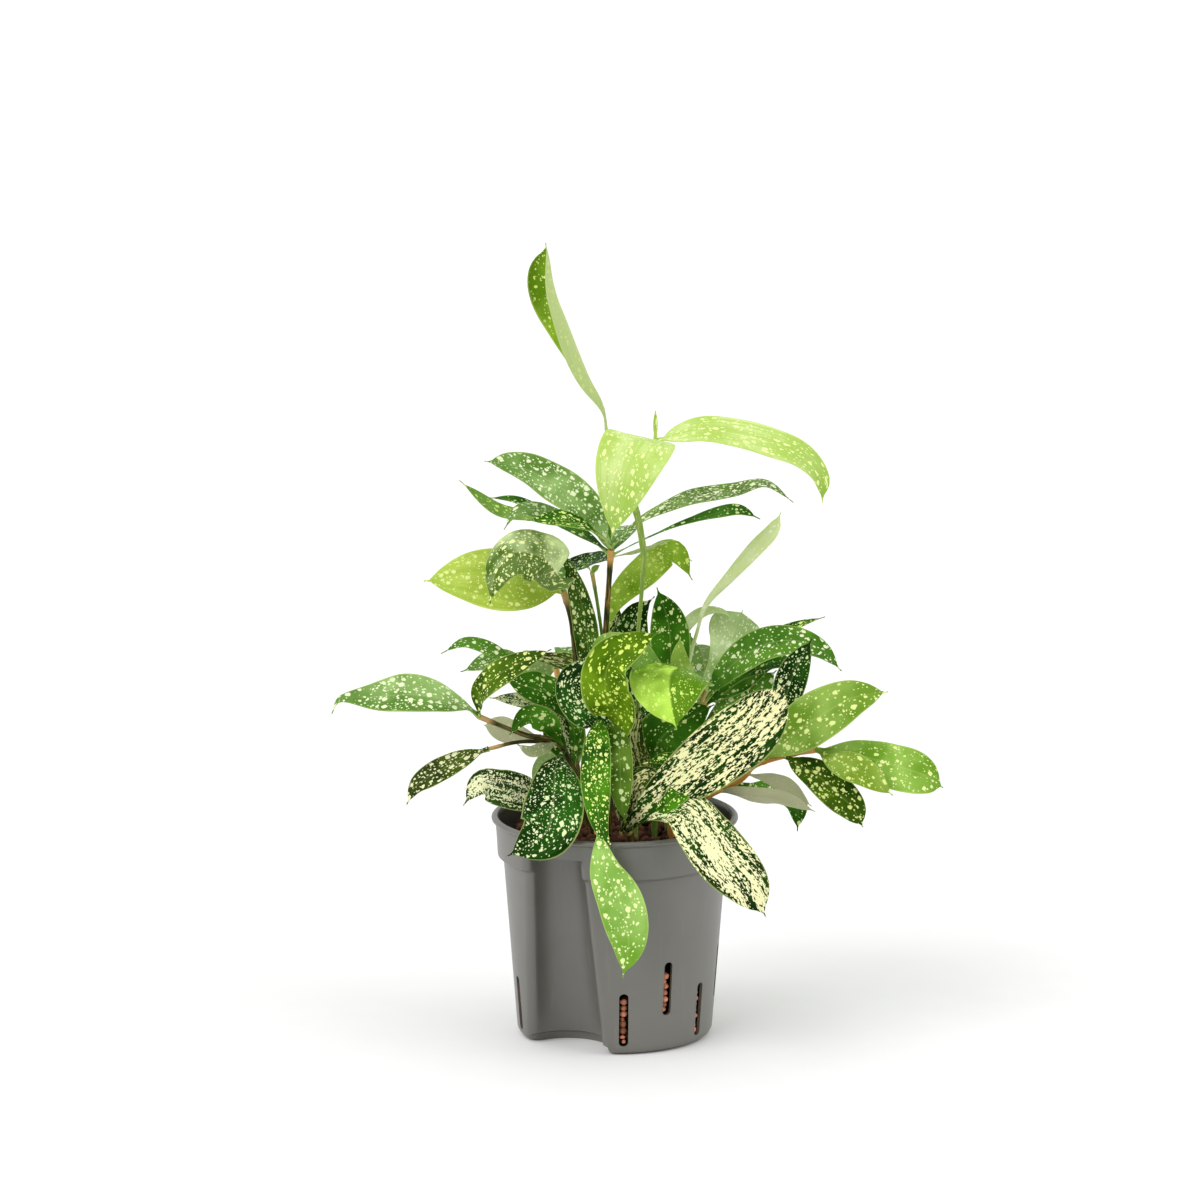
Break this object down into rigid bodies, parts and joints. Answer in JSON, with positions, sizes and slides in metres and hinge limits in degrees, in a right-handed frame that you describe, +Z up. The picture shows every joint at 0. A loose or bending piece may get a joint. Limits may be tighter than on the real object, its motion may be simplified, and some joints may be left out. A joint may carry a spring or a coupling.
{
  "type": "potted plant",
  "caption": "Potted gold dust dracaena: leafy canes with spotted green leaves in a slotted grey hydroculture pot filled with clay granulate.",
  "frame": {"origin": "middle of the pot's flat base, on the surface it stands on", "axes": "+Z up, +X to the right and +Y to the back, seen from the pictured side"},
  "size_m": [0.3207, 0.2243, 0.4211],
  "materials": {
    "pot_plastic": "satin",
    "fired_clay": "matte",
    "dark_foliage": "satin",
    "young_foliage": "satin",
    "pale_foliage": "satin",
    "fresh_foliage": "satin",
    "cream_foliage": "satin"
  },
  "bodies": {
    "root": {"pot": "pot_plastic", "granulate": "fired_clay", "main_shoot": "dark_foliage", "lime_shoot": "young_foliage", "left_shoot": "dark_foliage", "spear_shoot": "pale_foliage", "left_branch": "dark_foliage", "front_shoot": "fresh_foliage", "centre_shoot": "fresh_foliage", "variegated_shoot": "cream_foliage", "right_branch": "fresh_foliage", "right_shoot": "dark_foliage", "back_left_shoot": "dark_foliage", "back_right_shoot": "dark_foliage"}
  },
  "joints": []
}
